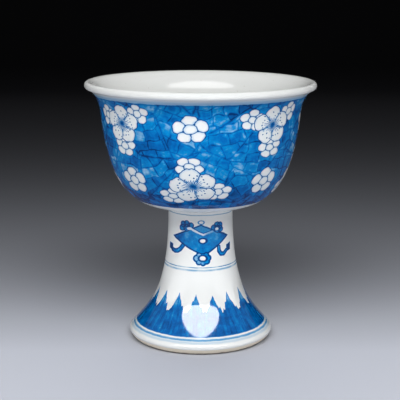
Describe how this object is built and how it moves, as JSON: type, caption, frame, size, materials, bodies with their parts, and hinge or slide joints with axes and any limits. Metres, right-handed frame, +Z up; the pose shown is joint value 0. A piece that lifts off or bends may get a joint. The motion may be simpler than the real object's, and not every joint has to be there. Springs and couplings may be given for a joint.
{
  "type": "stem bowl",
  "caption": "Deep porcelain bowl with an everted lip on a hollow stem that spreads to a bevelled, unglazed foot ring; painted in underglaze blue.",
  "frame": {"origin": "centre of the circle that the foot ring stands on", "axes": "+Z up along the axis that the bowl and the stem were turned about; -Y is the side the picture shows"},
  "size_m": [0.13, 0.13, 0.1475],
  "materials": {
    "painted_porcelain": "clear gloss glaze over underglaze blue",
    "white_porcelain": "clear gloss glaze",
    "luting_slip": "fired slip under glaze"
  },
  "bodies": {
    "root": {"bowl": "painted_porcelain", "stem": "white_porcelain", "luting_slip": "luting_slip"}
  },
  "joints": []
}
